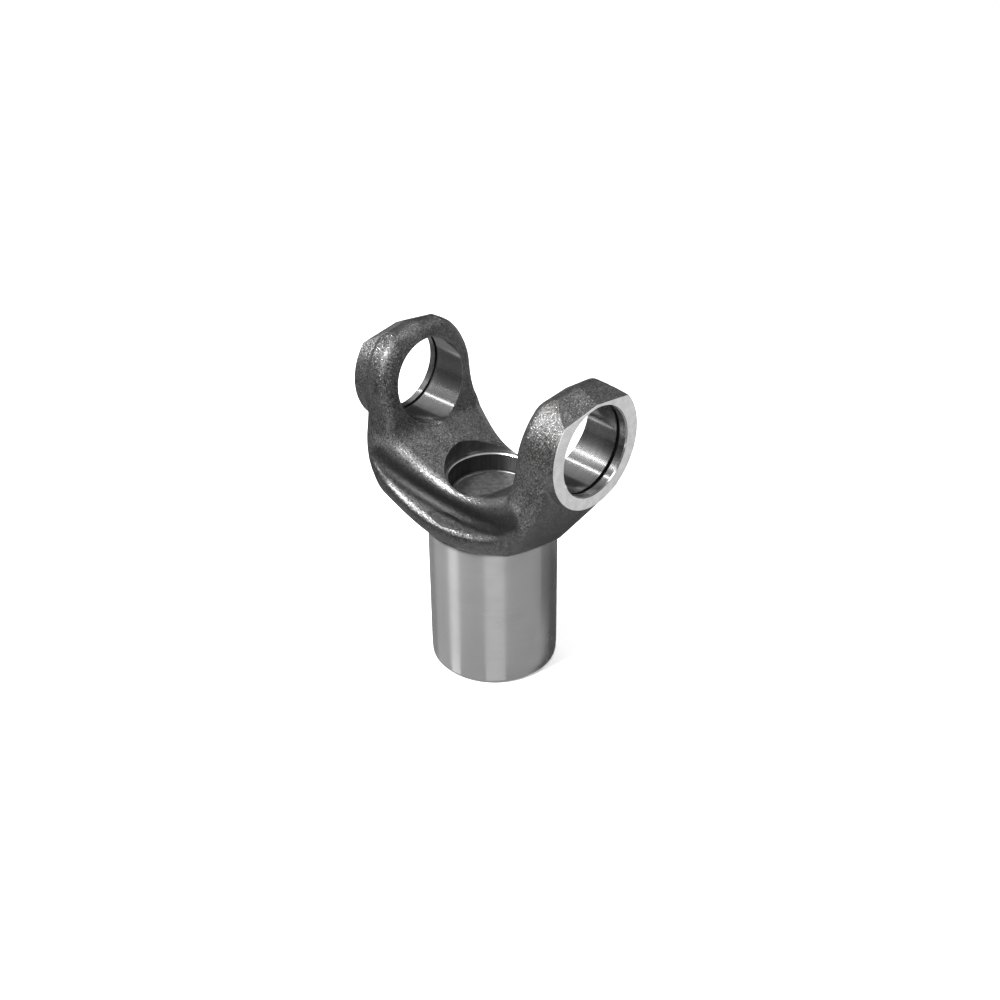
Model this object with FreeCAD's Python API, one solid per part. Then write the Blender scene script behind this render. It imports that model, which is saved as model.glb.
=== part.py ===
import FreeCAD, Part
import math
import os
from FreeCAD import Vector

# Slip yoke of a universal joint. Row frame, in mm: the origin is the joint
# centre, X runs along the cross bores, Z along the barrel (up, towards the
# joint) and Y is the way the forging left its dies. The dies met on Y = 0.

# --- forging: front view (X, Z) at the parting plane ---
DRAFT = 8.0
THROAT_DRAFT = 4.0
ARM_OUT_X = 43.2
ROOF_SLOPE = 0.5
ROOF_X = 33.0
ROOF_Z = 22.7
PEAK_ROUND = 7.5
PEAK_TAPER = 0.15
EAR_IN_X = 27.6
EAR_IN_LEAN = 0.152
HEEL_ROUND = 5.5
FACET_ANGLE = 35.0
FLOOR_Z = -25.0
FLOOR_R = 31.0

# --- forging: side view (Y, Z) ---
HUB_HALF_W = 25.5
EAR_HALF_W = 21.2
EAR_TAPER = 1.2
BOSS_R = 20.3
BOSS_RISE = 0.9

# --- forging: hub, ledges beside the throat, roundings ---
SHOULDER_Z = -42.0
SHOULDER_R = 24.7
UNDERSIDE_FLARE = 1.85
LEDGE_R = 47.5
LEDGE_Z = -31.5
PAD_HALF_W = 17.4
PAD_WALL_R = 87.0
ARM_ROUND = 3.0
HUB_ROUND = 5.0
LEDGE_ROUND = 2.8
VALLEY_ROUND = 3.2
THROAT_ROUND = 3.5
EAR_IN_ROUND = 3.0
RUNOUT_ROUND = 6.0
ROOF_ROUND = 4.0
BOSS_FILLET = 1.6
BOSS_ROOT = 8.0

# --- machined features ---
EAR_FACE_X = 45.2
BORE_R = 15.1
BORE_CHAMFER = 0.5
GROOVE_R = 16.0
GROOVE_X = 40.9
GROOVE_W = 1.4
BARREL_R = 22.5
BARREL_END_Z = -98.5
BARREL_CHAMFER = 0.8
LEAD_H = 2.8
LEAD_R = 22.38
RELIEF_R = 22.1
RELIEF_H = 1.0
SEAT_R = 16.35
SEAT_FLOOR_Z = -35.5
SPLINE_TEETH = 27
SPLINE_MINOR_R = 14.0
SPLINE_MAJOR_R = 15.6
SPLINE_TIP_SHARE = 0.38
SPLINE_ROOT_SHARE = 0.62
MOUTH_R = 16.4
MOUTH_H = 9.0

# --- pressed cup plug ---
PLUG_WALL = 1.3
PLUG_LIP_Z = -26.9
PLUG_ROUND = 2.4

ORIGIN = Vector(0, 0, 0)
X_AXIS = Vector(1, 0, 0)
Y_AXIS = Vector(0, 1, 0)
Z_AXIS = Vector(0, 0, 1)
DIE_DEPTH = 30.0
BEYOND_X = 60.0


def tan(degrees):
    return math.tan(math.radians(degrees))


def corner(before, point, after, radius):
    """Start, middle and end of the arc that rounds one corner of a profile."""
    ax, az = before[0] - point[0], before[1] - point[1]
    bx, bz = after[0] - point[0], after[1] - point[1]
    la, lb = math.hypot(ax, az), math.hypot(bx, bz)
    ax, az, bx, bz = ax / la, az / la, bx / lb, bz / lb
    half = 0.5 * math.acos(ax * bx + az * bz)
    run = radius / math.tan(half)
    rise = radius / math.sin(half) - radius
    mx, mz = ax + bx, az + bz
    lm = math.hypot(mx, mz)
    start = (point[0] + ax * run, point[1] + az * run)
    middle = (point[0] + mx / lm * rise, point[1] + mz / lm * rise)
    end = (point[0] + bx * run, point[1] + bz * run)
    return start, middle, end


def moved_in(points, distance):
    """The points of an open curve, each moved along the curve's left-hand normal."""
    moved = []
    for i, (x, z) in enumerate(points):
        x0, z0 = points[max(i - 1, 0)]
        x1, z1 = points[min(i + 1, len(points) - 1)]
        length = math.hypot(x1 - x0, z1 - z0)
        moved.append((x - (z1 - z0) / length * distance, z + (x1 - x0) / length * distance))
    return moved


def roof_z(x, y):
    """Height of the ear's sloping top, which falls away from the parting plane."""
    return ROOF_Z - ROOF_SLOPE * (x - ROOF_X) - y * tan(DRAFT) * math.hypot(1, ROOF_SLOPE)


def arm_outside():
    """Outer profile of an arm, from below the hub up to the ear."""
    x = ARM_OUT_X
    return [
        (x - 20.2, -47.0),
        (x - 13.6, -39.7),
        (x - 7.6, -32.0),
        (x - 3.3, -25.0),
        (x - 0.9, -18.0),
        (x, -10.0),
        (x, 2.0),
    ]


def ear_inside_x(y):
    """Where the ear's leaning inner face crosses the level of the cross."""
    return EAR_IN_X + y * tan(THROAT_DRAFT) * math.hypot(1, EAR_IN_LEAN)


def ear_peak(y):
    """The arc that rounds the ear's inner top edge, tighter away from the parting plane."""
    foot = (ear_inside_x(y), 0)
    z = (roof_z(0, y) - ROOF_SLOPE * foot[0]) / (1 + ROOF_SLOPE * EAR_IN_LEAN)
    peak = (foot[0] + EAR_IN_LEAN * z, z)
    far = (BEYOND_X, roof_z(BEYOND_X, y))
    return corner(far, peak, foot, PEAK_ROUND - PEAK_TAPER * y)


def front_wire(y):
    """Front outline of one arm and half the hub, y away from the parting plane."""
    outside = moved_in(arm_outside(), y * tan(DRAFT))
    give = y * tan(THROAT_DRAFT)
    top_x = outside[-1][0]
    shoulder = (top_x, roof_z(top_x, y))
    ear_x = ear_inside_x(y)
    peak_arc = ear_peak(y)
    facet = math.radians(FACET_ANGLE)
    floor_r = FLOOR_R + give
    floor_c = FLOOR_Z + FLOOR_R
    tangent = (floor_r * math.sin(facet), floor_c - floor_r * math.cos(facet))
    slope = math.tan(facet)
    z = (tangent[1] + slope * (ear_x - tangent[0])) / (1 - slope * EAR_IN_LEAN)
    heel = (ear_x + EAR_IN_LEAN * z, z)
    heel_arc = corner(peak_arc[2], heel, tangent, HEEL_ROUND + give)
    half = (floor_r * math.sin(facet / 2), floor_c - floor_r * math.cos(facet / 2))
    middle = (0, floor_c - floor_r)
    low = (0, outside[0][1] - 3)

    def at(point):
        return Vector(point[0], y, point[1])

    def line(a, b):
        return Part.LineSegment(at(a), at(b)).toShape()

    curve = Part.BSplineCurve()
    curve.interpolate([at(p) for p in outside])
    edges = [
        curve.toShape(),
        line(outside[-1], shoulder),
        line(shoulder, peak_arc[0]),
        Part.Arc(*[at(p) for p in peak_arc]).toShape(),
        line(peak_arc[2], heel_arc[0]),
        Part.Arc(*[at(p) for p in heel_arc]).toShape(),
        line(heel_arc[2], tangent),
        Part.Arc(at(tangent), at(half), at(middle)).toShape(),
        line(middle, low),
        line(low, outside[0]),
    ]
    return Part.Wire(edges)


def side_wire(x, grow):
    """Side outline at x: the hub's width, the flare under the ear and the ear's arch."""
    w = HUB_HALF_W
    e = EAR_HALF_W + grow
    points = [
        (w - 0.3, -52.0),
        (w, -42.0),
        (w + 0.1, -33.0),
        (w - 0.4, -25.0),
        (w - 2.5, -18.0),
        (e - 0.1, -11.0),
        (e - 0.5, -5.0),
        (e - 0.1, 2.0),
        (e - 1.4, 8.0),
        (e - 4.8, 13.9),
        (e - 10.5, 18.6 + 0.6 * grow),
        (0, 21.4 + grow),
    ]
    curve = Part.BSplineCurve()
    poles = [Vector(x, y, z) for y, z in points]
    curve.interpolate(Points=poles, InitialTangent=Z_AXIS, FinalTangent=Vector(0, -1, 0))
    top = Vector(x, 0, points[-1][1])
    low = Vector(x, 0, points[0][1])
    edges = [
        curve.toShape(),
        Part.LineSegment(top, low).toShape(),
        Part.LineSegment(low, poles[0]).toShape(),
    ]
    return Part.Wire(edges)


def throat_clearance():
    """The space cut beside the throat, above the curved ledge and outside the pad."""
    centre = Vector(0, 0, LEDGE_Z + LEDGE_R)
    depth = 60.0
    above = Part.makeCone(LEDGE_R, LEDGE_R + depth * tan(DRAFT), depth, centre, Y_AXIS, 360)
    wall = Part.makeCylinder(PAD_WALL_R, 100, Vector(0, PAD_HALF_W + PAD_WALL_R, -60), Z_AXIS)
    limit = Part.makeBox(40, 60, 80, Vector(0, 10, -40))
    return above.common(wall).common(limit)


def edge_numbers(shape, points):
    """Numbers of the edges nearest to the given points."""
    numbers = []
    for point in points:
        vertex = Part.Vertex(Vector(*point))
        gaps = [edge.distToShape(vertex)[0] for edge in shape.Edges]
        numbers.append(gaps.index(min(gaps)) + 1)
    return numbers


def rounded(shape, roundings):
    """Fillet groups of edges, each with its own radius, in one operation."""
    document = FreeCAD.newDocument("forging")
    base = document.addObject("Part::Feature", "base")
    base.Shape = shape
    fillet = document.addObject("Part::Fillet", "fillet")
    fillet.Base = base
    edges = []
    for radius, points in roundings:
        for number in edge_numbers(shape, points):
            edges.append((number, radius, radius))
    fillet.Edges = edges
    document.recompute()
    result = fillet.Shape.copy()
    FreeCAD.closeDocument(document.Name)
    return result


def forged_quarter():
    """One quarter of the arms and hub: x and y positive, with all its roundings."""
    front = Part.makeLoft([front_wire(0), front_wire(DIE_DEPTH)], True, True)
    side = Part.makeLoft([side_wire(0, EAR_TAPER * 0.9), side_wire(60, -EAR_TAPER)], True, True)
    flare_h = 70
    flare_top = SHOULDER_R + UNDERSIDE_FLARE * flare_h
    flare = Part.makeCone(SHOULDER_R, flare_top, flare_h, Vector(0, 0, SHOULDER_Z), Z_AXIS, 360)
    body = front.common(side).common(flare).cut(throat_clearance()).Solids[0]
    x = ARM_OUT_X
    under = [(16.2, 25.6, -39.0), (x - 15.0, 14.2, -38.3)]
    outer = [(x - 4.0, 22.7, -17.1), (x - 2.6, 18.3, 10.2)]
    valley = [(19.5, 19.6, -30.3)]
    ledge = [(18.5, 25.6, -31.6)]
    inner = [(29.3, 21.0, 1.7), (27.2, 21.6, -12.5)]
    crest = [(26.1, 21.4, -15.0), (21.5, 20.1, -18.5), (10.1, 18.0, -24.6)]
    runout = [(30.5, 22.9, -17.5)]
    roof = [(x - 3.0, 11.3, 18.0), (33.1, 11.4, 18.3)]
    return rounded(
        body,
        [
            (HUB_ROUND, under),
            (ARM_ROUND, outer),
            (VALLEY_ROUND, valley),
            (LEDGE_ROUND, ledge),
            (EAR_IN_ROUND, inner),
            (THROAT_ROUND, crest),
            (RUNOUT_ROUND, runout),
            (ROOF_ROUND, roof),
        ],
    ).Solids[0]


def mirrored(shape, normal):
    return shape.mirror(ORIGIN, normal)


def under_roof(y):
    """Outline of the space under the ear's sloping top and its rounded inner edge."""
    start, middle, end = [Vector(x, y, z) for x, z in ear_peak(y)]
    far_top = Vector(BEYOND_X, y, roof_z(BEYOND_X, y))
    far_low = Vector(BEYOND_X, y, -BEYOND_X)
    low = Vector(end.x, y, -BEYOND_X)
    edges = [
        Part.LineSegment(far_top, start).toShape(),
        Part.Arc(start, middle, end).toShape(),
        Part.LineSegment(end, low).toShape(),
        Part.LineSegment(low, far_low).toShape(),
        Part.LineSegment(far_low, far_top).toShape(),
    ]
    return Part.Wire(edges)


def boss_quarter():
    """Half of the round boss on the outside of an ear, under the same sloping roof."""
    inner_x = ARM_OUT_X - BOSS_ROOT
    length = EAR_FACE_X - inner_x
    centre = Vector(inner_x, 0, BOSS_RISE)
    bar = Part.makeCylinder(BOSS_R, length, centre, X_AXIS)
    roof = Part.makeLoft([under_roof(0), under_roof(DIE_DEPTH)], True, True)
    return bar.common(roof)


def eared_quarter():
    """A forged quarter with its boss, and the small fillet where the two meet."""
    quarter = forged_quarter().fuse(boss_quarter()).Solids[0]
    x = ARM_OUT_X
    meeting = [(x - 2.1, 11.1, -16.1), (x - 3.0, 19.1, -5.8)]
    return rounded(quarter, [(BOSS_FILLET, meeting)]).Solids[0]


def barrel():
    """The turned sleeve below the shoulder, with its relief groove and lead."""
    r = BARREL_R
    z = BARREL_END_Z
    c = BARREL_CHAMFER
    profile = [
        (0, z),
        (LEAD_R - c, z),
        (LEAD_R, z + c),
        (LEAD_R, z + LEAD_H),
        (r, z + LEAD_H + 0.4),
        (r, SHOULDER_Z - RELIEF_H - 0.4),
        (RELIEF_R, SHOULDER_Z - RELIEF_H),
        (RELIEF_R, SHOULDER_Z),
        (SHOULDER_R, SHOULDER_Z),
        (SHOULDER_R, SHOULDER_Z + 8),
        (0, SHOULDER_Z + 8),
        (0, z),
    ]
    wire = Part.makePolygon([Vector(x, 0, y) for x, y in profile])
    return Part.Face(wire).revolve(ORIGIN, Z_AXIS, 360)


def spline_hole():
    """The internally splined hole, from the barrel's mouth up to the plug seat."""
    bottom = BARREL_END_Z - 1
    top = SEAT_FLOOR_Z + 0.5
    pitch = 2 * math.pi / SPLINE_TEETH
    points = []
    for i in range(SPLINE_TEETH):
        middle = i * pitch
        for radius, share, side in (
            (SPLINE_MINOR_R, SPLINE_ROOT_SHARE, -1),
            (SPLINE_MAJOR_R, SPLINE_TIP_SHARE, -1),
            (SPLINE_MAJOR_R, SPLINE_TIP_SHARE, 1),
            (SPLINE_MINOR_R, SPLINE_ROOT_SHARE, 1),
        ):
            angle = middle + side * share * pitch / 2
            points.append(Vector(radius * math.cos(angle), radius * math.sin(angle), bottom))
    points.append(points[0])
    toothed = Part.Face(Part.makePolygon(points)).extrude(Vector(0, 0, top - bottom))
    mouth = Part.makeCylinder(MOUTH_R, MOUTH_H + 1, Vector(0, 0, bottom), Z_AXIS)
    cone_h = MOUTH_R - SPLINE_MINOR_R
    lead = Part.makeCone(
        MOUTH_R, SPLINE_MINOR_R, cone_h, Vector(0, 0, BARREL_END_Z + MOUTH_H), Z_AXIS
    )
    rim = Part.makeCone(
        MOUTH_R + 1.2, MOUTH_R, 1.2, Vector(0, 0, BARREL_END_Z), Z_AXIS
    )
    return toothed.fuse([mouth, lead, rim])


def plug_seat():
    height = 30
    return Part.makeCylinder(SEAT_R, height, Vector(0, 0, SEAT_FLOOR_Z), Z_AXIS)


def cross_bore():
    """One ear's bore, snap ring groove and outer chamfer, and the ear's face."""
    bore = Part.makeCylinder(BORE_R, 40, Vector(20, 0, 0), X_AXIS)
    groove = Part.makeCylinder(GROOVE_R, GROOVE_W, Vector(GROOVE_X, 0, 0), X_AXIS)
    c = BORE_CHAMFER
    chamfer = Part.makeCone(BORE_R, BORE_R + c, c, Vector(EAR_FACE_X - c, 0, 0), X_AXIS)
    return bore.fuse([groove, chamfer])


def yoke():
    quarter = eared_quarter()
    half = quarter.fuse(mirrored(quarter, X_AXIS))
    forging = half.fuse(mirrored(half, Y_AXIS))
    blank = forging.fuse(barrel())
    bore = cross_bore()
    cuts = [bore, mirrored(bore, X_AXIS), plug_seat(), spline_hole()]
    return blank.cut(cuts).Solids[0]


def end_plug():
    """The pressed cup that closes the splined hole, its open side up."""
    r = SEAT_R
    t = PLUG_WALL
    base = SEAT_FLOOR_Z
    outer = PLUG_ROUND
    inner = PLUG_ROUND - t
    turn = math.sqrt(0.5)

    def at(x, z):
        return Vector(x, 0, z)

    def line(a, b):
        return Part.LineSegment(a, b).toShape()

    def arc(centre_x, centre_z, radius, start, end):
        middle = at(centre_x + radius * turn, centre_z - radius * turn)
        return Part.Arc(start, middle, end).toShape()

    low = at(r - outer, base)
    side = at(r, base + outer)
    lip_out = at(r, PLUG_LIP_Z - 0.3)
    lip_top = at(r - 0.3, PLUG_LIP_Z)
    lip_in = at(r - t + 0.25, PLUG_LIP_Z)
    lip_edge = at(r - t, PLUG_LIP_Z - 0.25)
    wall_low = at(r - t, base + t + inner)
    floor_out = at(r - t - inner, base + t)
    edges = [
        line(at(0, base), low),
        arc(r - outer, base + outer, outer, low, side),
        line(side, lip_out),
        line(lip_out, lip_top),
        line(lip_top, lip_in),
        line(lip_in, lip_edge),
        line(lip_edge, wall_low),
        arc(r - t - inner, base + t + inner, inner, wall_low, floor_out),
        line(floor_out, at(0, base + t)),
        line(at(0, base + t), at(0, base)),
    ]
    return Part.Face(Part.Wire(edges)).revolve(ORIGIN, Z_AXIS, 360)


def main():
    os.makedirs("parts", exist_ok=True)
    nodes = {"yoke": yoke(), "end_plug": end_plug()}
    for name, shape in nodes.items():
        shape.exportStep("parts/" + name + ".step")


main()
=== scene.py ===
import logging
import math
from dataclasses import dataclass
from enum import Enum
from typing import Any, Mapping, Sequence, Union

import bpy
import numpy as np
from mathutils import Matrix, Vector


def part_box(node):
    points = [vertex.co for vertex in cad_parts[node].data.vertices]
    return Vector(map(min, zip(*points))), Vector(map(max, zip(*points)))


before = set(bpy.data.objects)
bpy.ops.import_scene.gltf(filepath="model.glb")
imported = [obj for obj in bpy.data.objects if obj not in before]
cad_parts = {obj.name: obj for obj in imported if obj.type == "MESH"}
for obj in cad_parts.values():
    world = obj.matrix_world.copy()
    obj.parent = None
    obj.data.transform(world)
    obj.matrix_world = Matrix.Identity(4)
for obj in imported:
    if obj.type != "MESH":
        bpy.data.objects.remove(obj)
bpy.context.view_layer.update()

log = logging.getLogger("forged_yoke")

MILLIMETRES = 1000.0
MILLIMETRE = 1.0 / MILLIMETRES
FULL_TURN = 2.0 * math.pi
ARC_STEPS = 24
CRISP = 0.03
FRONT_BEARING = -90.0

Grey = tuple[float, float, float, float]


def grey(level: float, warmth: float = 0.0) -> Grey:
    """A steel grey of one lightness, a little warmer or cooler than neutral."""
    return (level * (1 + warmth), level, level * (1 - warmth), 1.0)


@dataclass(frozen=True)
class Value:
    """A number that varies over a surface: arithmetic on it adds Math nodes.

    Args:
        tree: the finish that the number belongs to.
        socket: the node output that gives it.
    """

    tree: "FinishTree"
    socket: bpy.types.NodeSocket

    def math(self, operation: str, *others: "Number") -> "Value":
        """Add one Math node on this number and the others.

        Args:
            operation: what the node works out.
            *others: the numbers after this one.

        Returns:
            The result.
        """
        sockets = dict(enumerate((self, *others)))
        node = self.tree.node("ShaderNodeMath", {"operation": operation}, sockets)
        return Value(self.tree, node.outputs[0])

    def flipped(self, operation: str, first: "Number") -> "Value":
        """The result of one Math node with this number in second place."""
        node = self.tree.node("ShaderNodeMath", {"operation": operation}, {0: first, 1: self})
        return Value(self.tree, node.outputs[0])

    def __add__(self, other: "Number") -> "Value":
        """Sum."""
        return self.math("ADD", other)

    def __radd__(self, other: "Number") -> "Value":
        """Sum, from the right."""
        return self.math("ADD", other)

    def __sub__(self, other: "Number") -> "Value":
        """Difference."""
        return self.math("SUBTRACT", other)

    def __rsub__(self, other: "Number") -> "Value":
        """Difference, from the right."""
        return self.flipped("SUBTRACT", other)

    def __mul__(self, other: "Number") -> "Value":
        """Product."""
        return self.math("MULTIPLY", other)

    def __rmul__(self, other: "Number") -> "Value":
        """Product, from the right."""
        return self.math("MULTIPLY", other)

    def __pow__(self, other: "Number") -> "Value":
        """Power."""
        return self.math("POWER", other)

    def __abs__(self) -> "Value":
        """Size without sign."""
        return self.math("ABSOLUTE")

    def rise(self, low: float, high: float) -> "Value":
        """Step smoothly from 0 to 1 between two levels.

        Args:
            low: the level that gives 0.
            high: the level that gives 1; it may be the lower of the two.

        Returns:
            The step.
        """
        sockets = {"Value": self, "From Min": low, "From Max": high, "To Min": 0.0, "To Max": 1.0}
        settings = {"interpolation_type": "SMOOTHSTEP"}
        node = self.tree.node("ShaderNodeMapRange", settings, sockets)
        return Value(self.tree, node.outputs[0])

    def past(self, edge: float, blur: float = CRISP) -> "Value":
        """0 short of an edge and 1 past it, blurred by so much each way."""
        return self.rise(edge - blur, edge + blur)

    def short_of(self, edge: float, blur: float = CRISP) -> "Value":
        """1 short of an edge and 0 past it, blurred by so much each way."""
        return self.rise(edge + blur, edge - blur)


Number = Union[Value, float, int]


@dataclass(frozen=True)
class Ramp:
    """A smooth step that gives a mask, or says how strongly a pattern tints a finish.

    Args:
        low: the level that gives nothing.
        high: the level that gives full strength; it may be the lower of the two.
        strength: the most that it gives.
    """

    low: float
    high: float
    strength: float = 1.0

    def of(self, pattern: Value) -> Value:
        """The step that a pattern makes at each place."""
        step = pattern.rise(self.low, self.high)
        return step if self.strength == 1.0 else step * self.strength


@dataclass(frozen=True)
class Grain:
    """A pattern of soft noise from 0 to 1, about 0.5.

    Args:
        scale: how many features there are to a millimetre.
        detail: how many finer layers are added.
        roughness: how strong each finer layer is.
        stretch: how much closer the features lie along X, Y and Z, for grain that runs one way.
    """

    scale: float
    detail: float
    roughness: float = 0.5
    stretch: tuple[float, float, float] | None = None


class NodeMaker:
    """A node tree that is emptied and then built up node by node."""

    def __init__(self, tree: bpy.types.NodeTree) -> None:
        """Empty the tree."""
        self.tree = tree
        self.tree.nodes.clear()

    def node(
        self,
        kind: str,
        settings: Mapping[str, Any] | None = None,
        sockets: Mapping[Union[int, str], Any] | None = None,
    ) -> bpy.types.Node:
        """Add one node.

        Args:
            kind: the node's type.
            settings: attributes of the node, set before its sockets.
            sockets: a number, a colour or a link for each input.

        Returns:
            The node.
        """
        node = self.tree.nodes.new(kind)
        for key, value in (settings or {}).items():
            setattr(node, key, value)
        for key, value in (sockets or {}).items():
            source = value.socket if isinstance(value, Value) else value
            if isinstance(source, bpy.types.NodeSocket):
                self.tree.links.new(source, node.inputs[key])
            else:
                node.inputs[key].default_value = source
        return node


class FinishTree(NodeMaker):
    """The node tree of one material, with a Principled shader at its end."""

    def __init__(self, name: str) -> None:
        """Make a material with nothing but its shader.

        Args:
            name: the material's name.
        """
        self.material = bpy.data.materials.new(name)
        self.material.use_nodes = True
        super().__init__(self.material.node_tree)
        self.shader = self.node("ShaderNodeBsdfPrincipled")
        self.node("ShaderNodeOutputMaterial", sockets={"Surface": self.shader.outputs[0]})

    def hold(self, name: str, value: Any) -> None:
        """Give one socket of the shader a value that is the same all over."""
        self.shader.inputs[name].default_value = value

    def feed(self, name: str, source: bpy.types.NodeSocket) -> None:
        """Give one socket of the shader a value that changes over the surface."""
        self.tree.links.new(source, self.shader.inputs[name])

    def cells(self, point: bpy.types.NodeSocket, scale: float) -> Value:
        """Distance from the middle of the nearest of many scattered cells."""
        sockets = {"Vector": point, "Scale": scale}
        return Value(self, self.node("ShaderNodeTexVoronoi", {}, sockets).outputs["Distance"])

    def tint(self, share: Number, first: Any, second: Any) -> bpy.types.NodeSocket:
        """A colour between two colours.

        Args:
            share: 0 for the first colour, 1 for the second.
            first: a colour or a link.
            second: a colour or a link.

        Returns:
            The mixed colour.
        """
        mixer = self.node(
            "ShaderNodeMix",
            {"data_type": "RGBA", "clamp_factor": True},
            {0: share, 6: first, 7: second},
        )
        return mixer.outputs[2]

    def finish(self, surface: "Surface") -> bpy.types.Material:
        """Connect a surface to the shader.

        Args:
            surface: the colour, gloss and relief of every place.

        Returns:
            The finished material.
        """
        bump = self.node(
            "ShaderNodeBump",
            {},
            {"Strength": 1.0, "Distance": MILLIMETRE, "Height": surface.relief},
        )
        self.feed("Base Color", surface.colour)
        self.feed("Roughness", surface.roughness.socket)
        self.feed("Metallic", surface.metallic.socket)
        self.feed("Normal", bump.outputs[0])
        return self.material


@dataclass(frozen=True)
class Place:
    """Where a shaded point lies on a piece, in millimetres from the cross centre.

    Args:
        tree: the finish that reads it.
        point: the whole position.
        x: distance along the cross bores.
        y: distance across them.
        z: height above their axis.
    """

    tree: FinishTree
    point: bpy.types.NodeSocket
    x: Value
    y: Value
    z: Value

    @classmethod
    def on(cls, tree: FinishTree) -> "Place":
        """Read the place from the piece's own coordinates.

        Args:
            tree: the finish that reads it.

        Returns:
            The place.
        """
        source = tree.node("ShaderNodeTexCoord").outputs["Object"]
        sockets = {0: source, "Scale": MILLIMETRES}
        point = tree.node("ShaderNodeVectorMath", {"operation": "SCALE"}, sockets).outputs[0]
        split = tree.node("ShaderNodeSeparateXYZ", {}, {0: point})
        return cls(tree, point, *(Value(tree, socket) for socket in split.outputs))

    def grain(self, grain: Grain) -> Value:
        """Read one pattern of noise.

        Args:
            grain: the pattern.

        Returns:
            Its level here.
        """
        point = self.point
        if grain.stretch is not None:
            settings = {"operation": "MULTIPLY"}
            sockets = {0: self.point, 1: grain.stretch}
            point = self.tree.node("ShaderNodeVectorMath", settings, sockets).outputs[0]
        sockets = {
            "Vector": point,
            "Scale": grain.scale,
            "Detail": grain.detail,
            "Roughness": grain.roughness,
        }
        return Value(self.tree, self.tree.node("ShaderNodeTexNoise", {}, sockets).outputs[0])

    def from_bores(self) -> Value:
        """Distance from the axis of the cross bores."""
        return (self.y * self.y + self.z * self.z) ** 0.5

    def from_barrel(self) -> Value:
        """Distance from the axis of the barrel."""
        return (self.x * self.x + self.y * self.y) ** 0.5


@dataclass(frozen=True)
class Surface:
    """What a finish gives every place of a surface.

    Args:
        colour: base colour.
        roughness: shader roughness.
        metallic: share of bare metal.
        relief: height in millimetres.
    """

    colour: bpy.types.NodeSocket
    roughness: Value
    metallic: Value
    relief: Value

    def under(self, top: "Surface", mask: Value) -> "Surface":
        """This surface with another one over it where a mask is 1.

        Args:
            top: the surface that lies over this one.
            mask: 1 where it covers this one.

        Returns:
            The two together.
        """
        rest = 1 - mask
        return Surface(
            mask.tree.tint(mask, self.colour, top.colour),
            self.roughness * rest + top.roughness * mask,
            self.metallic * rest + top.metallic * mask,
            self.relief * rest + top.relief * mask,
        )


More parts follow.
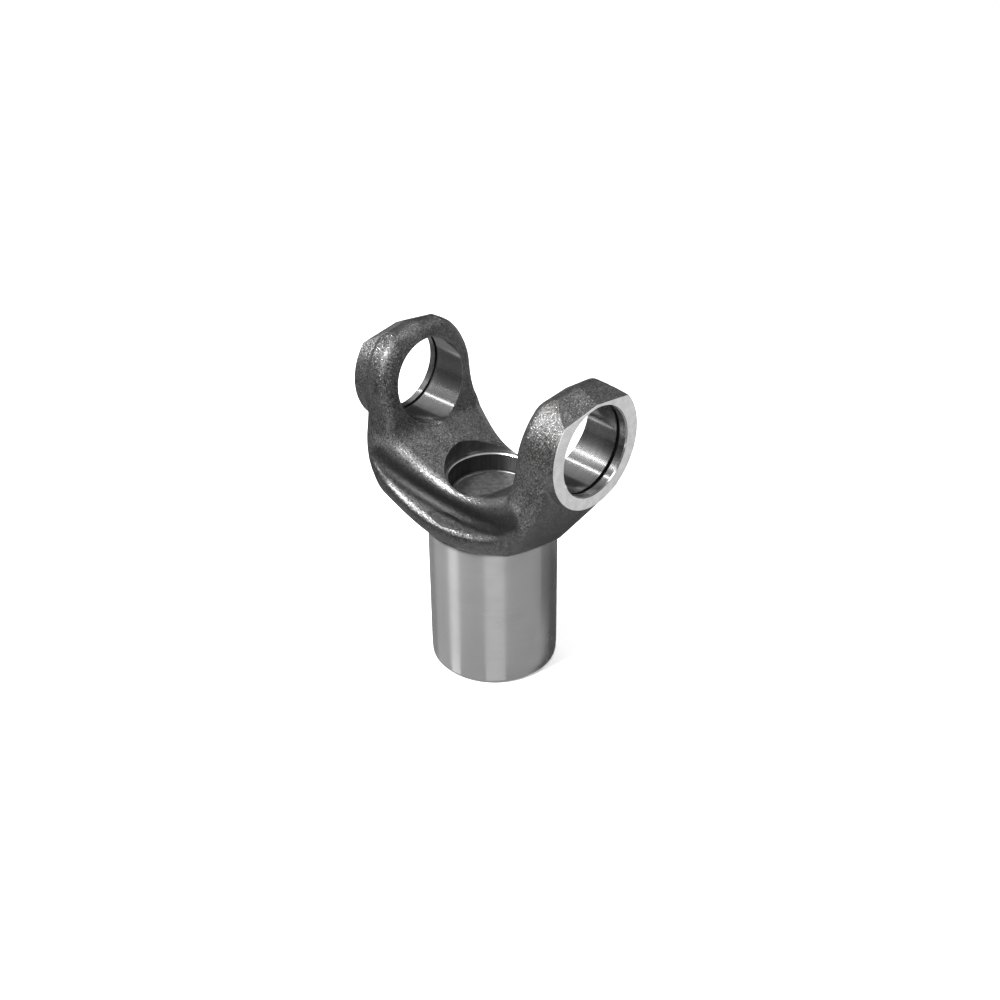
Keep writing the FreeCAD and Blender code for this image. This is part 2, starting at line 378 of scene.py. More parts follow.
@dataclass(frozen=True)
class ForgedScale:
    """Blasted forging scale: dark, mottled, with burnished specks and shallow dimples.

    The ramps whose names start with fold, ledge and crest read distances in millimetres
    from a side wall of the throat or above its curved ledge. They place painted shade in the
    fold and a painted highlight on the ledge and crest.

    Args:
        deep: lightness of the darkest scale.
        body: lightness of most of the scale.
        rubbed: lightness of burnished metal in the specks, and of the painted highlight on the
            ledge and crest.
        dimple_scale: dimples to a millimetre.
        pit_scale: pits to a millimetre.
        blotch_relief: height of the blotches, in millimetres.
        grain_relief: height of the grain.
        oil: the heights between which the hub grows darker towards its bottom.
        low_arm: the heights between which the painted fold shade and the painted edge highlight
            begin.
        ledge_centre: height of the axis that the ledge curves round.
        ledge_radius: radius of the ledge at the middle plane.
        draft: how much that radius grows to a millimetre of width.
        wall_half: half the distance between the side walls.
        wall_radius: long radius that each side wall bends on.
    """

    deep: float = 0.012
    body: float = 0.050
    rubbed: float = 0.30
    patches: Grain = Grain(0.10, 5, 0.62)
    blotches: Grain = Grain(0.45, 4, 0.6)
    grain: Grain = Grain(2.1, 4, 0.72)
    dust: Grain = Grain(4.2, 2, 0.6)
    dimple_scale: float = 0.75
    dimple_edge: Ramp = Ramp(0.05, 0.62)
    pit_scale: float = 0.32
    pit_edge: Ramp = Ramp(0.16, 0.04)
    speck_grain: Ramp = Ramp(0.55, 0.68)
    speck_dust: Ramp = Ramp(0.46, 0.62)
    patch_tone: Ramp = Ramp(0.34, 0.66, 0.55)
    blotch_tone: Ramp = Ramp(0.35, 0.65, 0.45)
    grain_light: Ramp = Ramp(0.44, 0.68, 0.75)
    grain_dark: Ramp = Ramp(0.47, 0.33, 0.6)
    highlight_grain: Ramp = Ramp(0.36, 0.62)
    blotch_relief: float = 0.14
    grain_relief: float = 0.15
    oil: Ramp = Ramp(-16.0, -38.0)
    low_arm: Ramp = Ramp(-13.0, -18.0)
    ledge_centre: float = 16.0
    ledge_radius: float = 47.5
    draft: float = 0.1405
    wall_half: float = 17.4
    wall_radius: float = 87.0
    fold_at_wall: Ramp = Ramp(-1.2, 0.0)
    fold_off_wall: Ramp = Ramp(4.6, 2.4)
    fold_at_ledge: Ramp = Ramp(-0.4, 0.4)
    fold_off_ledge: Ramp = Ramp(8.5, 4.0)
    ledge_off_wall: Ramp = Ramp(2.6, 4.6)
    ledge_level: Ramp = Ramp(-1.6, -0.6)
    crest_before_wall: Ramp = Ramp(-3.6, -1.8)
    crest_at_wall: Ramp = Ramp(0.4, -0.6)
    crest_over_ledge: Ramp = Ramp(3.0, 5.5)

    def fold_shade_and_highlight(self, place: Place) -> tuple[Value, Value]:
        """Painted shade in the fold where each side wall meets the curved ledge, and a painted
        highlight on the edges beside it.

        The wall stands at its half width plus the sagitta of its long radius, and the
        ledge is a cone about the cross-wise axis: both distances make the two masks.

        Args:
            place: where the shaded point lies.

        Returns:
            1 where painted shade darkens the fold, and 1 where a painted highlight lightens the
            ledge and crest.
        """
        side = abs(place.y)
        reach = (self.wall_radius**2 - place.x * place.x) ** 0.5
        past_wall = side - (self.wall_half + self.wall_radius - reach)
        rise = place.z - self.ledge_centre
        radius = (place.x * place.x + rise * rise) ** 0.5
        above_ledge = self.ledge_radius + side * self.draft - radius
        low_arm = self.low_arm.of(place.z)
        fold = self.fold_at_wall.of(past_wall) * self.fold_off_wall.of(past_wall)
        fold = fold * self.fold_at_ledge.of(above_ledge) * self.fold_off_ledge.of(above_ledge)
        ledge = self.ledge_off_wall.of(past_wall) * self.ledge_level.of(above_ledge)
        crest = self.crest_before_wall.of(past_wall) * self.crest_at_wall.of(past_wall)
        crest = crest * self.crest_over_ledge.of(above_ledge)
        return fold * low_arm, (ledge + crest) * low_arm

    def surface(self, tree: FinishTree, place: Place) -> Surface:
        """Patches of scale, fine grain, pits and burnished specks.

        Args:
            tree: the finish that is being made.
            place: where the shaded point lies.

        Returns:
            The forged surface.
        """
        patches = place.grain(self.patches)
        blotches = place.grain(self.blotches)
        grain = place.grain(self.grain)
        dust = place.grain(self.dust)
        dimples = self.dimple_edge.of(tree.cells(place.point, self.dimple_scale))
        pits = self.pit_edge.of(tree.cells(place.point, self.pit_scale))
        specks = self.speck_grain.of(grain) * self.speck_dust.of(dust)
        # the hub grows darker towards its bottom
        low_hub = self.oil.of(place.z)
        tone = self.patch_tone.of(patches) + self.blotch_tone.of(blotches)
        tone = tone * (1 - low_hub * 0.45)
        colour = tree.tint(tone, grey(self.deep), grey(self.body, 0.01))
        colour = tree.tint(self.grain_light.of(grain), colour, grey(self.body * 2.6))
        colour = tree.tint(self.grain_dark.of(grain), colour, grey(self.deep * 0.5))
        colour = tree.tint(specks * (0.75 - low_hub * 0.35), colour, grey(self.rubbed, 0.015))
        colour = tree.tint(pits * 0.7, colour, grey(self.deep * 0.5))
        colour = tree.tint(low_hub * 0.5, colour, grey(self.deep * 1.1))
        # painted shade down in the fold, and a painted highlight on the ledge band and crest
        fold, ledge_highlight = self.fold_shade_and_highlight(place)
        ledge_highlight = ledge_highlight * self.highlight_grain.of(grain) * (1 - low_hub * 0.5)
        # painted highlight on the ledge band and crest, broken up by the grain
        colour = tree.tint(ledge_highlight * 0.55, colour, grey(self.rubbed * 1.25))
        # painted shade down in the fold
        colour = tree.tint(fold * 0.8, colour, grey(self.deep * 0.6))
        roughness = 0.34 - specks * 0.12 + (patches - 0.5) * 0.16 + pits * 0.2 - low_hub * 0.05
        roughness = roughness - ledge_highlight * 0.06 + fold * 0.1
        metallic = 0.72 + specks * 0.23
        relief = blotches * self.blotch_relief + dimples * 0.035 + grain * self.grain_relief
        relief = relief + dust * 0.010 - pits * 0.05
        return Surface(colour, roughness, metallic, relief)


@dataclass(frozen=True)
class MilledFace:
    """A face cut by one pass of a large milling head: pale, with wide fine arcs.

    Args:
        level: lightness of the cut metal.
        cutter_y: where the cutter's axis lies, across the bores.
        cutter_z: height of the cutter's axis.
        feed: distance between one arc and the next, in millimetres.
        fine_feed: distance between the finer arcs.
        sway: how far noise bends the arcs, in radians of their wave.
    """

    level: float = 0.50
    cutter_y: float = -70.0
    cutter_z: float = -55.0
    feed: float = 0.85
    fine_feed: float = 0.3145
    sway: float = 5.0
    waver: Grain = Grain(0.12, 3)
    smear: Grain = Grain(0.35, 4, 0.6, (0.2, 1.0, 1.0))
    dust: Grain = Grain(3.0, 3, 0.6)
    scratches: Grain = Grain(1.6, 2, 0.5, (1.0, 0.12, 2.4))
    scratch_edge: Ramp = Ramp(0.62, 0.72)
    smear_tone: Ramp = Ramp(0.3, 0.7)
    dust_tone: Ramp = Ramp(0.58, 0.75, 0.35)

    def surface(self, tree: FinishTree, place: Place) -> Surface:
        """Arcs about the cutter's axis: the sine of the distance from it over the feed.

        Args:
            tree: the finish that is being made.
            place: where the shaded point lies.

        Returns:
            The milled surface.
        """
        across = place.y - self.cutter_y
        up = place.z - self.cutter_z
        reach = (across * across + up * up) ** 0.5
        waver = place.grain(self.waver)
        arcs = (reach * (FULL_TURN / self.feed) + waver * self.sway).math("SINE")
        fine = (reach * (FULL_TURN / self.fine_feed)).math("SINE")
        smear = place.grain(self.smear)
        dust = place.grain(self.dust)
        scratch = self.scratch_edge.of(place.grain(self.scratches))
        tone = self.smear_tone.of(smear)
        pale = tree.tint(tone, grey(self.level * 0.84), grey(self.level * 1.08))
        pale = tree.tint(arcs * 0.10 + fine * 0.05 + 0.12, pale, grey(self.level * 0.62))
        pale = tree.tint(self.dust_tone.of(dust), pale, grey(self.level * 0.6))
        pale = tree.tint(scratch * 0.25, pale, grey(self.level * 1.25))
        roughness = 0.40 + smear * 0.14 + arcs * 0.03 + dust * 0.05
        metallic = 0.55 + smear * 0.1
        relief = arcs * 0.0045 + fine * 0.002 + dust * 0.004 + scratch * -0.004
        return Surface(pale, roughness, metallic, relief)


@dataclass(frozen=True)
class GroundBore:
    """A ground bearing bore: bright, with hair-fine rings left by the wheel.

    Args:
        level: lightness of the ground metal.
    """

    level: float = 0.30
    rings: Grain = Grain(1.0, 3, 0.6, (9.0, 0.05, 0.05))
    stains: Grain = Grain(0.16, 4, 0.6)
    dust: Grain = Grain(2.4, 3, 0.6)
    ring_tone: Ramp = Ramp(0.3, 0.7)
    stain_tone: Ramp = Ramp(0.5, 0.75, 0.4)

    def surface(self, tree: FinishTree, place: Place) -> Surface:
        """Noise squeezed along the bore gives rings, and faint stains lie over them.

        Args:
            tree: the finish that is being made.
            place: where the shaded point lies.

        Returns:
            The ground surface.
        """
        rings = place.grain(self.rings)
        stain = place.grain(self.stains)
        dust = place.grain(self.dust)
        tone = self.ring_tone.of(rings)
        colour = tree.tint(tone, grey(self.level * 0.85), grey(self.level * 1.1))
        colour = tree.tint(self.stain_tone.of(stain), colour, grey(self.level * 0.5, 0.02))
        roughness = 0.08 + rings * 0.06 + stain * 0.08 + dust * 0.03
        metallic = 0.97 + dust * 0.02
        relief = rings * 0.0016 + dust * 0.0006
        return Surface(colour, roughness, metallic, relief)


@dataclass(frozen=True)
class TurnedSleeve:
    """A turned and polished sleeve: satin steel with fine rings round its axis.

    Args:
        level: lightness of the turned metal.
        shoulder_shade: the heights between which painted shade darkens the sleeve towards its
            shoulder.
    """

    level: float = 0.32
    shoulder_shade: Ramp = Ramp(-45.6, -43.4, 0.9)
    rings: Grain = Grain(1.0, 4, 0.65, (0.03, 0.03, 5.0))
    bands: Grain = Grain(1.0, 2, 0.5, (0.01, 0.01, 0.35))
    rubbing: Grain = Grain(0.07, 4, 0.6)
    dust: Grain = Grain(2.2, 3, 0.65)
    ring_tone: Ramp = Ramp(0.3, 0.7)
    rub_tone: Ramp = Ramp(0.45, 0.75, 0.35)
    dust_tone: Ramp = Ramp(0.50, 0.80, 0.12)

    def surface(self, tree: FinishTree, place: Place) -> Surface:
        """Noise squeezed along the axis gives tool rings, with faint rubbed patches.

        Args:
            tree: the finish that is being made.
            place: where the shaded point lies.

        Returns:
            The turned surface.
        """
        rings = place.grain(self.rings)
        bands = place.grain(self.bands)
        rubbed = place.grain(self.rubbing)
        dust = place.grain(self.dust)
        tone = self.ring_tone.of(rings)
        colour = tree.tint(tone, grey(self.level * 0.94), grey(self.level * 1.05))
        colour = tree.tint(self.rub_tone.of(rubbed), colour, grey(self.level * 0.7))
        colour = tree.tint(self.dust_tone.of(dust), colour, grey(self.level * 0.7))
        # painted shade on the sleeve just under the shoulder
        colour = tree.tint(self.shoulder_shade.of(place.z), colour, grey(self.level * 0.06))
        roughness = 0.20 + rings * 0.03 + rubbed * 0.06 + dust * 0.03
        metallic = 0.93 + dust * 0.04
        relief = rings * 0.0009 + bands * 0.001
        return Surface(colour, roughness, metallic, relief)


@dataclass(frozen=True)
class BroachedSteel:
    """Bored and broached steel inside the barrel, dulled by a film of oil.

    Args:
        level: lightness of the cut metal.
    """

    level: float = 0.10
    drawing: Grain = Grain(1.0, 3, 0.6, (3.0, 3.0, 0.08))
    oil: Grain = Grain(0.2, 4, 0.6)
    dust: Grain = Grain(2.0, 3, 0.6)
    drawn_tone: Ramp = Ramp(0.3, 0.7)
    oil_tone: Ramp = Ramp(0.4, 0.7, 0.6)

    def surface(self, tree: FinishTree, place: Place) -> Surface:
        """Noise drawn out along the axis gives the broach's marks under mottled oil.

        Args:
            tree: the finish that is being made.
            place: where the shaded point lies.

        Returns:
            The inner surface.
        """
        drawn = place.grain(self.drawing)
        oil = place.grain(self.oil)
        dust = place.grain(self.dust)
        tone = self.drawn_tone.of(drawn)
        colour = tree.tint(tone, grey(self.level * 0.9), grey(self.level * 1.1))
        colour = tree.tint(self.oil_tone.of(oil), colour, grey(self.level * 0.4, 0.06))
        roughness = 0.26 + drawn * 0.12 + dust * 0.08
        metallic = 0.9 + dust * 0.05
        relief = drawn * 0.0015 + dust * 0.002
        return Surface(colour, roughness, metallic, relief)


@dataclass(frozen=True)
class PressedCup:
    """A pressed steel cup: a wall darkened by painted shade, a greyer floor and a lip of bare
    sheared metal with a painted highlight.

    Args:
        wall: lightness of the wall, darkened as painted shade.
        floor: lightness of the floor.
        lip: lightness of the lip: bare sheared metal with a painted highlight.
        at_lip: the heights between which the lip begins.
        at_floor: the heights between which the floor begins.
        floor_radius: radius of the floor, inside its rounded corner.
        floor_blur: how softly the floor ends, in millimetres each way.
    """

    wall: float = 0.045
    floor: float = 0.17
    lip: float = 0.62
    at_lip: Ramp = Ramp(-27.4, -27.2)
    at_floor: Ramp = Ramp(-33.1, -33.9)
    floor_radius: float = 14.2
    floor_blur: float = 0.4
    drawing: Grain = Grain(1.0, 3, 0.6, (1.6, 1.6, 0.10))
    mottle: Grain = Grain(1.0, 4, 0.6, (0.5, 0.5, 0.5))
    dust: Grain = Grain(2.6, 3, 0.65)
    drawn_tone: Ramp = Ramp(0.3, 0.7)
    mottle_tone: Ramp = Ramp(0.35, 0.7)
    dust_tone: Ramp = Ramp(0.56, 0.72, 0.4)

    def surface(self, tree: FinishTree, place: Place) -> Surface:
        """Draw marks up the wall, turned rings on the floor, and the lip by height.

        Args:
            tree: the finish that is being made.
            place: where the shaded point lies.

        Returns:
            The cup's surface.
        """
        radius = place.from_barrel()
        drawn = place.grain(self.drawing)
        mottle = place.grain(self.mottle)
        swirl = (radius * 4.0 + mottle * 3.0).math("SINE")
        dust = place.grain(self.dust)
        on_lip = self.at_lip.of(place.z)
        on_floor = self.at_floor.of(place.z) * radius.short_of(self.floor_radius, self.floor_blur)
        tone = self.drawn_tone.of(drawn)
        # the wall is painted darker than the floor of the same sheet: painted shade
        colour = tree.tint(tone, grey(self.wall * 0.85), grey(self.wall * 1.2))
        tone = self.mottle_tone.of(mottle)
        ground = tree.tint(tone, grey(self.floor * 0.7), grey(self.floor * 1.2))
        ground = tree.tint(self.dust_tone.of(dust), ground, grey(self.floor * 0.4))
        colour = tree.tint(on_floor, colour, ground)
        # the lip: bare sheared metal with a painted highlight
        bright = tree.tint(dust, grey(self.lip * 0.8), grey(self.lip * 1.1))
        colour = tree.tint(on_lip, colour, bright)
        roughness = 0.30 + drawn * 0.10 + on_floor * 0.05 - on_lip * 0.12
        metallic = 0.86 + dust * 0.06 + on_lip * 0.05
        relief = drawn * 0.002 + swirl * on_floor * 0.002 + dust * 0.004
        return Surface(colour, roughness, metallic, relief)


@dataclass(frozen=True)
class Yoke:
    """The forged yoke: which finish covers which of its surfaces, in millimetres.

    Args:
        forged: finish of everything that no tool has cut.
        turned: finish of the barrel.
        broached: finish inside the barrel.
        milled: finish of the ear faces.
        ground: finish of the cross bores.
        ear_face: just inside the milled ear faces, along the axis.
        bore_edge: radius just outside the cross bores.
        chamfer_edge: radius just outside the chamfers at their outer ends.
        chamfer_start: where the outer chamfers' own edge counts, along the axis.
        chamfer_blur: how softly it starts to count.
        bore_start: short of where the bores begin, along their axis.
        bore_blur: how softly their finish begins there.
        ring_groove: middle of the snap ring grooves, along the axis.
        ring_half: a little more than half of a groove's width.
        ring_blur: how soft a groove's sides are.
        ring_mouth: the radii between which painted shade begins in a groove.
        ring_floor: the radii between which its shade ends.
        ring_shade: lightness of the painted shade, with a little dark oil, down in a groove.
        shoulder: just under the barrel's shoulder.
        hole_edge: radius just outside the plug's seat.
    """

    forged: ForgedScale = ForgedScale()
    turned: TurnedSleeve = TurnedSleeve()
    broached: BroachedSteel = BroachedSteel()
    milled: MilledFace = MilledFace()
    ground: GroundBore = GroundBore()
    ear_face: float = 45.12
    bore_edge: float = 15.2
    chamfer_edge: float = 15.66
    chamfer_start: float = 43.2
    chamfer_blur: float = 0.2
    bore_start: float = 22.0
    bore_blur: float = 0.5
    ring_groove: float = 41.6
    ring_half: float = 0.8
    ring_blur: float = 0.08
    ring_mouth: Ramp = Ramp(15.12, 15.3)
    ring_floor: Ramp = Ramp(16.3, 16.2)
    ring_shade: float = 0.012
    shoulder: float = -42.05
    hole_edge: float = 16.44

    def dress(self, node: bpy.types.Object) -> None:
        """Give the yoke its material: forged all over, machined where a tool has cut.

        Args:
            node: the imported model's yoke.
        """
        tree = FinishTree("yoke_steel")
        place = Place.on(tree)
        along = abs(place.x)
        bore_radius = place.from_bores()
        surface = self.forged.surface(tree, place)
        below = place.z.short_of(self.shoulder)
        surface = surface.under(self.turned.surface(tree, place), below)
        inside = place.from_barrel().short_of(self.hole_edge)
        surface = surface.under(self.broached.surface(tree, place), inside)
        face = along.past(self.ear_face)
        surface = surface.under(self.milled.surface(tree, place), face)
        widening = along.past(self.chamfer_start, self.chamfer_blur)
        excess = bore_radius - widening * (self.chamfer_edge - self.bore_edge)
        in_bore = along.past(self.bore_start, self.bore_blur) * excess.short_of(self.bore_edge)
        surface = surface.under(self.ground.surface(tree, place), in_bore * (1 - face))
        # painted shade, with a little dark oil, down in the snap ring grooves
        groove = abs(along - self.ring_groove).short_of(self.ring_half, self.ring_blur)
        groove_shade = groove * self.ring_floor.of(bore_radius) * self.ring_mouth.of(bore_radius)
        colour = tree.tint(1 - groove_shade * 0.85, grey(self.ring_shade), surface.colour)
        roughness = surface.roughness + groove_shade * 0.25
        surface = Surface(colour, roughness, surface.metallic, surface.relief)
        dress_slots(node, tree.finish(surface))


@dataclass(frozen=True)
class EndPlug:
    """The cup plug that is pressed in above the spline.

    Args:
        finish: finish of the whole cup.
    """

    finish: PressedCup = PressedCup()

    def dress(self, node: bpy.types.Object) -> None:
        """Give the plug its material.

        Args:
            node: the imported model's plug.
        """
        tree = FinishTree("plug_steel")
        dress_slots(node, tree.finish(self.finish.surface(tree, Place.on(tree))))


def dress_slots(node: bpy.types.Object, material: bpy.types.Material) -> None:
    """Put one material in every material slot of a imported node.

    Args:
        node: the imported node.
        material: its new material.
    """
    for slot in node.material_slots:
        slot.link = "OBJECT"
        slot.material = material
    log.info("%s wears %s", node.name, material.name)


class CardTone(Enum):
    """How light a studio card is."""

    BLACK = 0.015
    DARK = 0.10
    MID = 0.22
    PALE = 0.38
    LIGHT = 0.52


class CardAxis(Enum):
    """The axis that a slice of a ring goes round."""

    BORES = 0
    BARREL = 2


@dataclass(frozen=True)
class FanCard:
    """A slice of a flat ring round an axis, which only reflections see.

    Args:
        name: the card's name.
        axis: the axis that it goes round.
        offset: where its plane crosses the axis.
        start: angle where the slice begins, in degrees.
        end: angle where it ends.
        inner: inner radius.
        outer: outer radius.
        tone: how light it is.
    """

    name: str
    axis: CardAxis
    offset: float
    start: float
    end: float
    inner: float
    outer: float
    tone: CardTone

    def grid(self) -> np.ndarray:
        """Corner points round the slice: out along one arc and back along the other.

        Returns:
            One point a row.
        """
        turn = np.radians(np.linspace(self.start, self.end, ARC_STEPS))
        angles = np.concatenate([turn, turn[::-1]])
        radii = np.repeat([self.outer, self.inner], len(turn))
        level = np.full(len(angles), self.offset)
        across = radii * np.cos(angles)
        over = radii * np.sin(angles)
        order = (level, across, over) if self.axis is CardAxis.BORES else (across, over, level)
        return np.stack(order, axis=1)


@dataclass(frozen=True)
class SheafCard:
    """A card just over the floor that gives the barrel one upright band of reflection.

    Args:
        name: the card's name.
        start: where the band begins on the barrel, in degrees from its nearest line.
        end: where it ends.
        tone: how light it is.
    """

    name: str
    start: float
    end: float
    tone: CardTone

    def grid(self, radius: float, towards: float, reach: float, height: float) -> np.ndarray:
        """Edge of the card: each line leaves the barrel at twice its own turn.

        Args:
            radius: the barrel's radius.
            towards: the bearing that the bands are counted from, in radians.
            reach: how far the card goes out.
            height: the height it lies at.

        Returns:
            One point a row.
        """
        turn = np.radians(np.linspace(self.start, self.end, ARC_STEPS))
        foot = radius * np.stack([np.cos(turn + towards), np.sin(turn + towards)], axis=1)
        ray = np.stack([np.cos(2 * turn + towards), np.sin(2 * turn + towards)], axis=1)
        edge = np.concatenate([foot + reach * ray, foot[::-1]])
        return np.column_stack([edge, np.full(len(edge), height)])


@dataclass(frozen=True)
class SoftBox:
    """A soft rectangular lamp that is aimed at the yoke.

    Args:
        name: the lamp's name.
        middle: where it hangs.
        width: its width.
        height: its height.
        power: how strong it is, in watts.
        gloss_only: whether only reflections see it, for a thin line in bright metal.
    """

    name: str
    middle: tuple[float, float, float]
    width: float
    height: float
    power: float
    gloss_only: bool = False


def facing(middle: Sequence[float], target: Sequence[float]) -> Matrix:
    """The placement of something at one point whose minus Z side looks at another.

    Args:
        middle: where it stands.
        target: what it looks at.

    Returns:
        The placement.
    """
    look = Vector(target) - Vector(middle)
    turn = look.to_track_quat("-Z", "Y").to_matrix().to_4x4()
    return Matrix.Translation(Vector(middle)) @ turn


@dataclass
class Studio:
    """A pale floor, soft lamps, cards for the bright metal, and the camera, in metres.

    Args:
        floor_half: half the floor's width.
        floor_level: lightness of the floor.
        floor_mottle: how much that lightness changes from place to place.
        floor_lift: faint glow of the floor, which keeps shadows on it pale.
        floor_roughness: roughness of the floor where it is smoothest.
        floor_fade: the distances in millimetres between which the floor fades out.
        aim: what the lamps look at.
        sky: how strongly the surround lights the set; the backdrop itself is white.
        azimuth: bearing of the camera in degrees, counted from minus Y.
        elevation: how far the camera is raised, in degrees.
        distance: how far the camera is from the cross centre.
        roll: how far the camera leans about its own axis, in degrees.
        lens: focal length, in millimetres.
        sensor: width of the camera's sensor, in millimetres.
        near: the nearest that the camera sees.
        shift: how far the picture is moved across the lens.
        lamps: the soft lamps.
        bands: the cards that give the barrel its upright bands.
        band_radius: a little more than the barrel's radius.
        band_reach: how far those cards go out.
        card_roughness: roughness of every card.
        cards: the cards that the bores and the rest reflect.
    """

    floor_half: float = 1.6
    floor_level: float = 0.86
    floor_mottle: float = 0.01
    floor_lift: float = 0.16
    floor_roughness: float = 0.85
    floor_grain: Grain = Grain(0.004, 2)
    floor_fade: Ramp = Ramp(1500.0, 700.0)
    aim: tuple[float, float, float] = (0.0, 0.0, -0.03)
    sky: float = 0.46
    azimuth: float = 43.99
    elevation: float = 28.16
    distance: float = 0.45784
    roll: float = -0.715
    lens: float = 49.78
    sensor: float = 36.0
    near: float = 0.01
    shift: tuple[float, float] = (0.00866, -0.0942)
    lamps: tuple[SoftBox, ...] = (
        SoftBox("key", (-0.22, -0.72, 0.80), 0.24, 0.24, 42.0),
        SoftBox("top", (0.10, 0.40, 0.95), 0.45, 0.45, 6.0),
        SoftBox("bore_strip", (-0.44, -0.10, 0.63), 0.032, 0.30, 0.30, gloss_only=True),
        SoftBox("bore_line", (-0.44, -0.42, 0.48), 0.016, 0.30, 0.12, gloss_only=True),
        SoftBox("right", (0.95, -0.05, 0.45), 0.35, 0.5, 4.0),
    )
    bands: tuple[SheafCard, ...] = (
        SheafCard("band_left_edge", -88, -64, CardTone.DARK),
        SheafCard("band_left", -64, -43, CardTone.MID),
        SheafCard("band_bright", -43, -33, CardTone.LIGHT),
        SheafCard("band_front_left", -33, -8, CardTone.MID),
        SheafCard("band_front", -8, 10, CardTone.PALE),
        SheafCard("band_right", 10, 60, CardTone.MID),
        SheafCard("band_right_edge", 60, 88, CardTone.DARK),
    )
    band_radius: float = 0.0227
    band_reach: float = 0.13
    card_roughness: float = 0.9
    cards: tuple[FanCard, ...] = (
        FanCard("floor_near", CardAxis.BARREL, -0.0983, 0, 360, 0.0218, 0.5, CardTone.MID),
        FanCard("floor_beyond", CardAxis.BARREL, -0.098, 118, 228, 0.03, 0.6, CardTone.BLACK),
        FanCard("floor_aside", CardAxis.BARREL, -0.0981, 180, 264, 0.14, 1.4, CardTone.BLACK),
        FanCard("bore_low", CardAxis.BORES, -0.45, 138, 184, 0.2, 1.3, CardTone.BLACK),
        FanCard("bore_middle", CardAxis.BORES, -0.45, 104, 132, 0.2, 1.3, CardTone.DARK),
        FanCard("bore_upper", CardAxis.BORES, -0.45, 66, 94, 0.2, 1.3, CardTone.MID),
        FanCard("bore_high", CardAxis.BORES, -0.45, -8, 54, 0.2, 1.3, CardTone.BLACK),
    )

    def surface(self, name: str, points: np.ndarray) -> bpy.types.Object:
        """A flat sheet inside a closed line of points.

        Args:
            name: the object's name.
            points: the corners in order, one a row.

        Returns:
            The object, linked to the scene.
        """
        mesh = bpy.data.meshes.new(name)
        mesh.from_pydata(points.tolist(), [], [tuple(range(len(points)))])
        mesh.update()
        piece = bpy.data.objects.new(name, mesh)
        bpy.context.scene.collection.objects.link(piece)
        return piece

    def build_floor(self, height: float) -> None:
        """Lay the floor under the yoke.

        Args:
            height: the height of the yoke's lowest face.
        """
        corners = np.array([(-1, -1, 0), (1, -1, 0), (1, 1, 0), (-1, 1, 0)], float)
        corners *= self.floor_half
        corners[:, 2] = height
        floor = self.surface("floor", corners)
        tree = FinishTree("floor_paper")
        place = Place.on(tree)
        soft = place.grain(self.floor_grain)
        darker = grey(self.floor_level * (1 - self.floor_mottle))
        lighter = grey(self.floor_level * (1 + self.floor_mottle))
        tree.feed("Base Color", tree.tint(soft, darker, lighter))
        tree.feed("Roughness", (self.floor_roughness + soft * 0.05).socket)
        tree.feed("Alpha", self.floor_fade.of(place.from_barrel()).socket)
        tree.hold("Emission Color", grey(1.0))
        tree.hold("Emission Strength", self.floor_lift)
        floor.data.materials.append(tree.material)

    def build_cards(self, height: float) -> None:
        """Stand the cards up where only reflections can see them.

        Args:
            height: the height of the floor.
        """
        towards = math.radians(self.azimuth + FRONT_BEARING)
        lift = height + MILLIMETRE
        for band in self.bands:
            points = band.grid(self.band_radius, towards, self.band_reach, lift)
            self.hide_card(self.surface(band.name, points), band.tone)
        for card in self.cards:
            self.hide_card(self.surface(card.name, card.grid()), card.tone)

    def hide_card(self, piece: bpy.types.Object, tone: CardTone) -> None:
        """Colour a card and leave it in reflections only.

        Args:
            piece: the card.
            tone: how light it is.
        """
        material = bpy.data.materials.new(piece.name)
        material.use_nodes = True
        shader = material.node_tree.nodes["Principled BSDF"]
        shader.inputs["Base Color"].default_value = grey(tone.value)
        shader.inputs["Roughness"].default_value = self.card_roughness
        piece.data.materials.append(material)
        piece.visible_camera = False
        piece.visible_diffuse = False
        piece.visible_shadow = False

    def build_lamps(self) -> None:
        """Hang the soft lamps and set an even pale surround."""
        for box in self.lamps:
            lamp = bpy.data.lights.new(box.name, "AREA")
            lamp.shape = "RECTANGLE"
            lamp.size = box.width
            lamp.size_y = box.height
            lamp.energy = box.power
            lamp.use_shadow = not box.gloss_only
            holder = bpy.data.objects.new(box.name, lamp)
            holder.visible_diffuse = not box.gloss_only
            holder.matrix_world = facing(box.middle, self.aim)
            bpy.context.scene.collection.objects.link(holder)
        bpy.context.scene.world = self.surround()
        bpy.context.scene.view_settings.view_transform = "Standard"

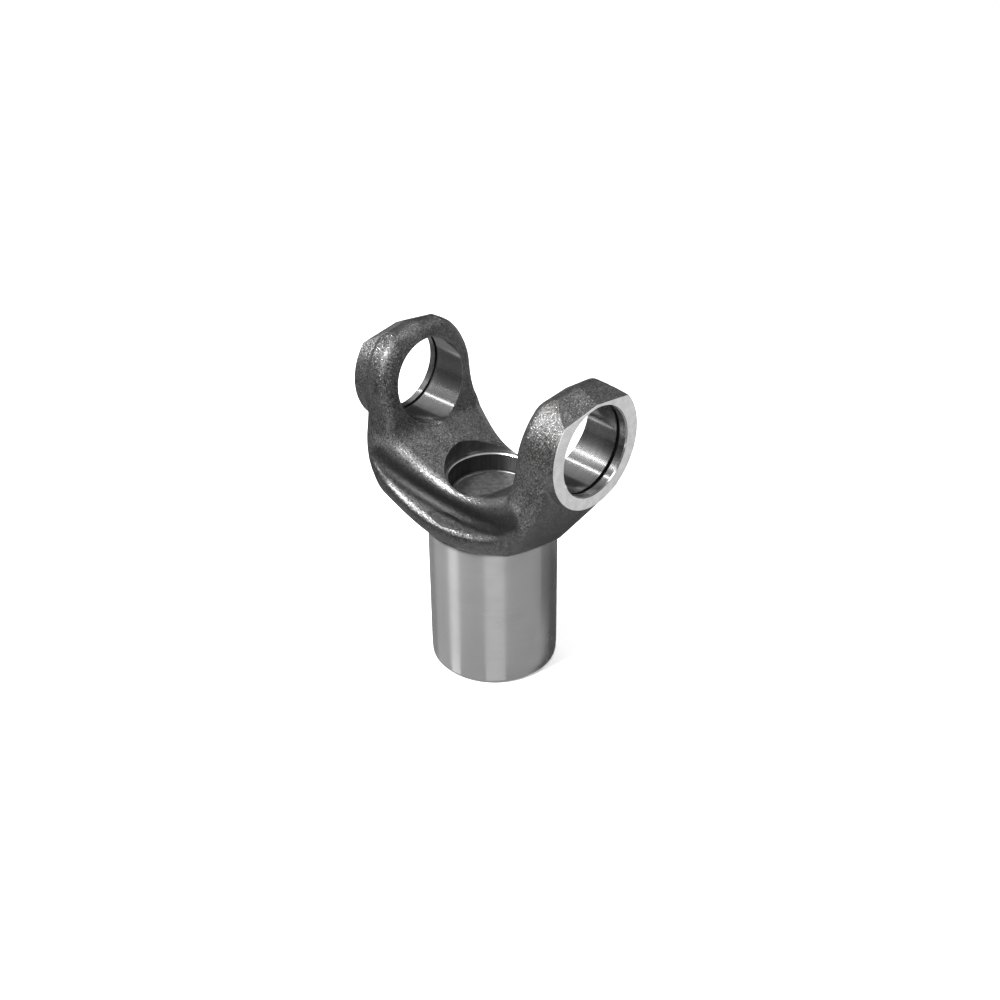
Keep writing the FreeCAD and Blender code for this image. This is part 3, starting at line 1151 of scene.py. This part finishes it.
    def surround(self) -> bpy.types.World:
        """An even surround: a white backdrop that lights the set only softly.

        Returns:
            The world.
        """
        world = bpy.data.worlds.new("studio")
        world.use_nodes = True
        maker = NodeMaker(world.node_tree)
        light = maker.node("ShaderNodeBackground", {}, {"Color": grey(1.0), "Strength": self.sky})
        backdrop = maker.node("ShaderNodeBackground", {}, {"Color": grey(1.0)})
        seen = maker.node("ShaderNodeLightPath").outputs["Is Camera Ray"]
        sockets = {0: seen, 1: light.outputs[0], 2: backdrop.outputs[0]}
        chosen = maker.node("ShaderNodeMixShader", {}, sockets)
        maker.node("ShaderNodeOutputWorld", {}, {"Surface": chosen.outputs[0]})
        return world

    def build_camera(self) -> None:
        """Set the camera by azimuth, elevation, distance and roll about its axis."""
        turn, lift, roll = np.radians((self.azimuth, self.elevation, self.roll)).tolist()
        flat = math.cos(lift)
        back = Vector((math.sin(turn) * flat, -math.cos(turn) * flat, math.sin(lift)))
        right = Vector((math.cos(turn), math.sin(turn), 0.0))
        up = back.cross(right)
        level_right = right * math.cos(roll) + up * math.sin(roll)
        level_up = up * math.cos(roll) - right * math.sin(roll)
        lens = bpy.data.cameras.new("camera")
        lens.lens = self.lens
        lens.sensor_width = self.sensor
        lens.shift_x, lens.shift_y = self.shift
        lens.clip_start = self.near
        camera = bpy.data.objects.new("camera", lens)
        placed = Matrix((level_right, level_up, back)).transposed().to_4x4()
        camera.matrix_world = Matrix.Translation(back * self.distance) @ placed
        bpy.context.scene.collection.objects.link(camera)
        bpy.context.scene.camera = camera

    def build(self) -> None:
        """Set the whole studio round the yoke."""
        low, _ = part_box("yoke")
        self.build_floor(low.z)
        self.build_cards(low.z)
        self.build_lamps()
        self.build_camera()
        log.info("studio is set with %d lamps and %d cards", len(self.lamps), len(self.cards))


def main() -> None:
    """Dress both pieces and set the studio."""
    logging.basicConfig(level=logging.INFO, format="%(name)s: %(message)s")
    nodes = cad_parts
    Yoke().dress(nodes["yoke"])
    EndPlug().dress(nodes["end_plug"])
    Studio().build()


if __name__ == "__main__":
    main()
